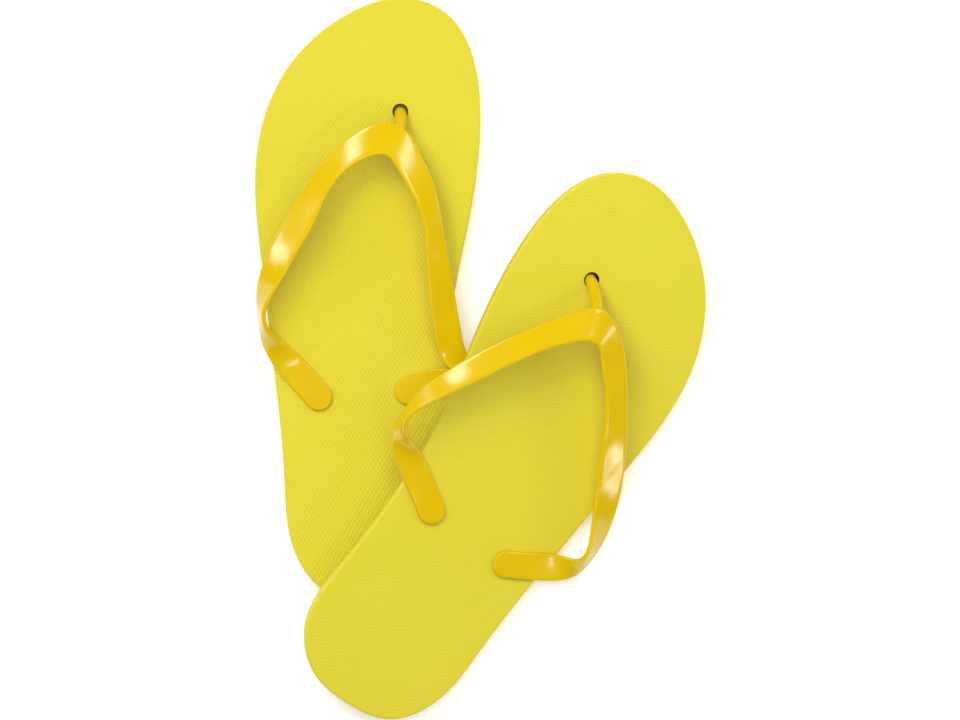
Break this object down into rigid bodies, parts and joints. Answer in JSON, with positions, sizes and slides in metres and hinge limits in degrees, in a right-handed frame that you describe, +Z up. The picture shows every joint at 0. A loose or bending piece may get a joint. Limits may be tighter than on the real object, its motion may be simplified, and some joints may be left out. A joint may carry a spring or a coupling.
{
  "type": "pair of flip flops",
  "caption": "Pair of flat foam flip flops with glossy V straps plugged through the soles; the right one lies askew with its inner edge propped on the left heel.",
  "frame": {"origin": "centre of the pair's footprint, on the floor", "axes": "+Z up; +Y along the left sandal from its heel to its toes, the pair's longest side; +X from the left sandal to the right one"},
  "size_m": [0.2058, 0.3298, 0.0606],
  "materials": {
    "foam_sole": "matte closed-cell foam with an embossed top face",
    "glossy_strap": "glossy soft moulded plastic"
  },
  "bodies": {
    "left_heel": {"left_sole_heel": "foam_sole", "left_strap_band": "glossy_strap", "left_outer_plug": "glossy_strap", "left_inner_plug": "glossy_strap"},
    "left_toe": {"left_sole_toe": "foam_sole", "left_toe_post": "glossy_strap"},
    "right_heel": {"right_sole_heel": "foam_sole", "right_strap_band": "glossy_strap", "right_outer_plug": "glossy_strap", "right_inner_plug": "glossy_strap"},
    "right_toe": {"right_sole_toe": "foam_sole", "right_toe_post": "glossy_strap"}
  },
  "joints": [
    {"name": "left_toe_flex", "type": "hinge", "parent": "left_heel", "child": "left_toe", "pos_m": [-0.0513, 0.07785, 0.01], "axis": [1, 0, 0], "range_deg": [0, 40], "stiffness_Nm_per_rad": 0.4, "deforming": ["left_strap_band"]},
    {"name": "right_lift", "type": "slide", "parent": "left_heel", "child": "right_heel", "axis": [0, 0, 1], "range_m": [0, 0.12]},
    {"name": "right_toe_flex", "type": "hinge", "parent": "right_heel", "child": "right_toe", "pos_m": [0.04367, -0.00122, 0.02539], "axis": [0.8024, -0.514, -0.3032], "range_deg": [0, 40], "stiffness_Nm_per_rad": 0.4, "deforming": ["right_strap_band"]}
  ]
}
